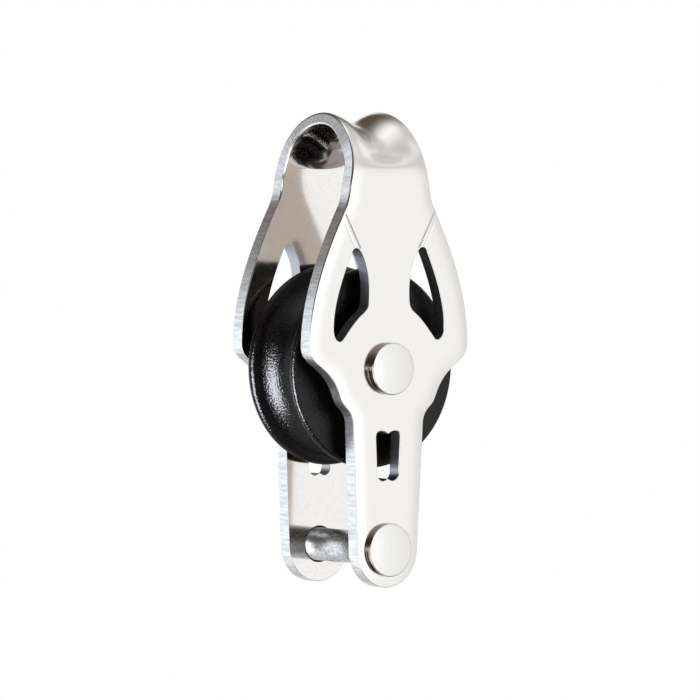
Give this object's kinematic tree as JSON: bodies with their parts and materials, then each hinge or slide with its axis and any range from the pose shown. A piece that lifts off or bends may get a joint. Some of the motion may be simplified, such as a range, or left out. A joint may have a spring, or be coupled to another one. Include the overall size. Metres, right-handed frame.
{
  "type": "becket block",
  "caption": "Single block for small line: pressed strap with a saddle eye, grooved sheave on balls, and a becket pin at the foot.",
  "frame": {"origin": "centre of the sheave, on the axle, midway between the cheeks", "axes": "+Z from the sheave up to the saddle eye, +Y along the axle from the cheek with the turned rivet heads to the cheek with the spread tails, +X across the cheeks"},
  "size_m": [0.0228, 0.0164, 0.0535],
  "materials": {
    "strap_steel": "tumble-polished stainless sheet with sheared edges",
    "rivet_steel": "turned stainless bar with faint rings on the head",
    "race_steel": "turned stainless, bright raceway",
    "sheave_acetal": "satin black moulded acetal, finely grained",
    "ball_acetal": "natural acetal, ground smooth"
  },
  "bodies": {
    "frame": {"strap": "strap_steel", "axle_rivet": "rivet_steel", "becket_rivet": "rivet_steel", "inner_race_near": "race_steel", "inner_race_far": "race_steel"},
    "wheel": {"sheave": "sheave_acetal"},
    "ball_rows": {"ball_a_01": "ball_acetal", "ball_a_02": "ball_acetal", "ball_a_03": "ball_acetal", "ball_a_04": "ball_acetal", "ball_a_05": "ball_acetal", "ball_a_06": "ball_acetal", "ball_a_07": "ball_acetal", "ball_a_08": "ball_acetal", "ball_a_09": "ball_acetal", "ball_a_10": "ball_acetal", "ball_a_11": "ball_acetal", "ball_a_12": "ball_acetal", "ball_b_01": "ball_acetal", "ball_b_02": "ball_acetal", "ball_b_03": "ball_acetal", "ball_b_04": "ball_acetal", "ball_b_05": "ball_acetal", "ball_b_06": "ball_acetal", "ball_b_07": "ball_acetal", "ball_b_08": "ball_acetal", "ball_b_09": "ball_acetal", "ball_b_10": "ball_acetal", "ball_b_11": "ball_acetal", "ball_b_12": "ball_acetal"}
  },
  "joints": [
    {"name": "sheave_spin", "type": "hinge", "parent": "frame", "child": "wheel", "pos_m": [0, 0, 0], "axis": [0, 1, 0], "continuous": true},
    {"name": "ball_orbit", "type": "hinge", "parent": "frame", "child": "ball_rows", "pos_m": [0, 0, 0], "axis": [0, 1, 0], "continuous": true}
  ],
  "couplings": [
    {"joint": "ball_orbit", "follows": "sheave_spin", "ratio": 0.6276}
  ]
}
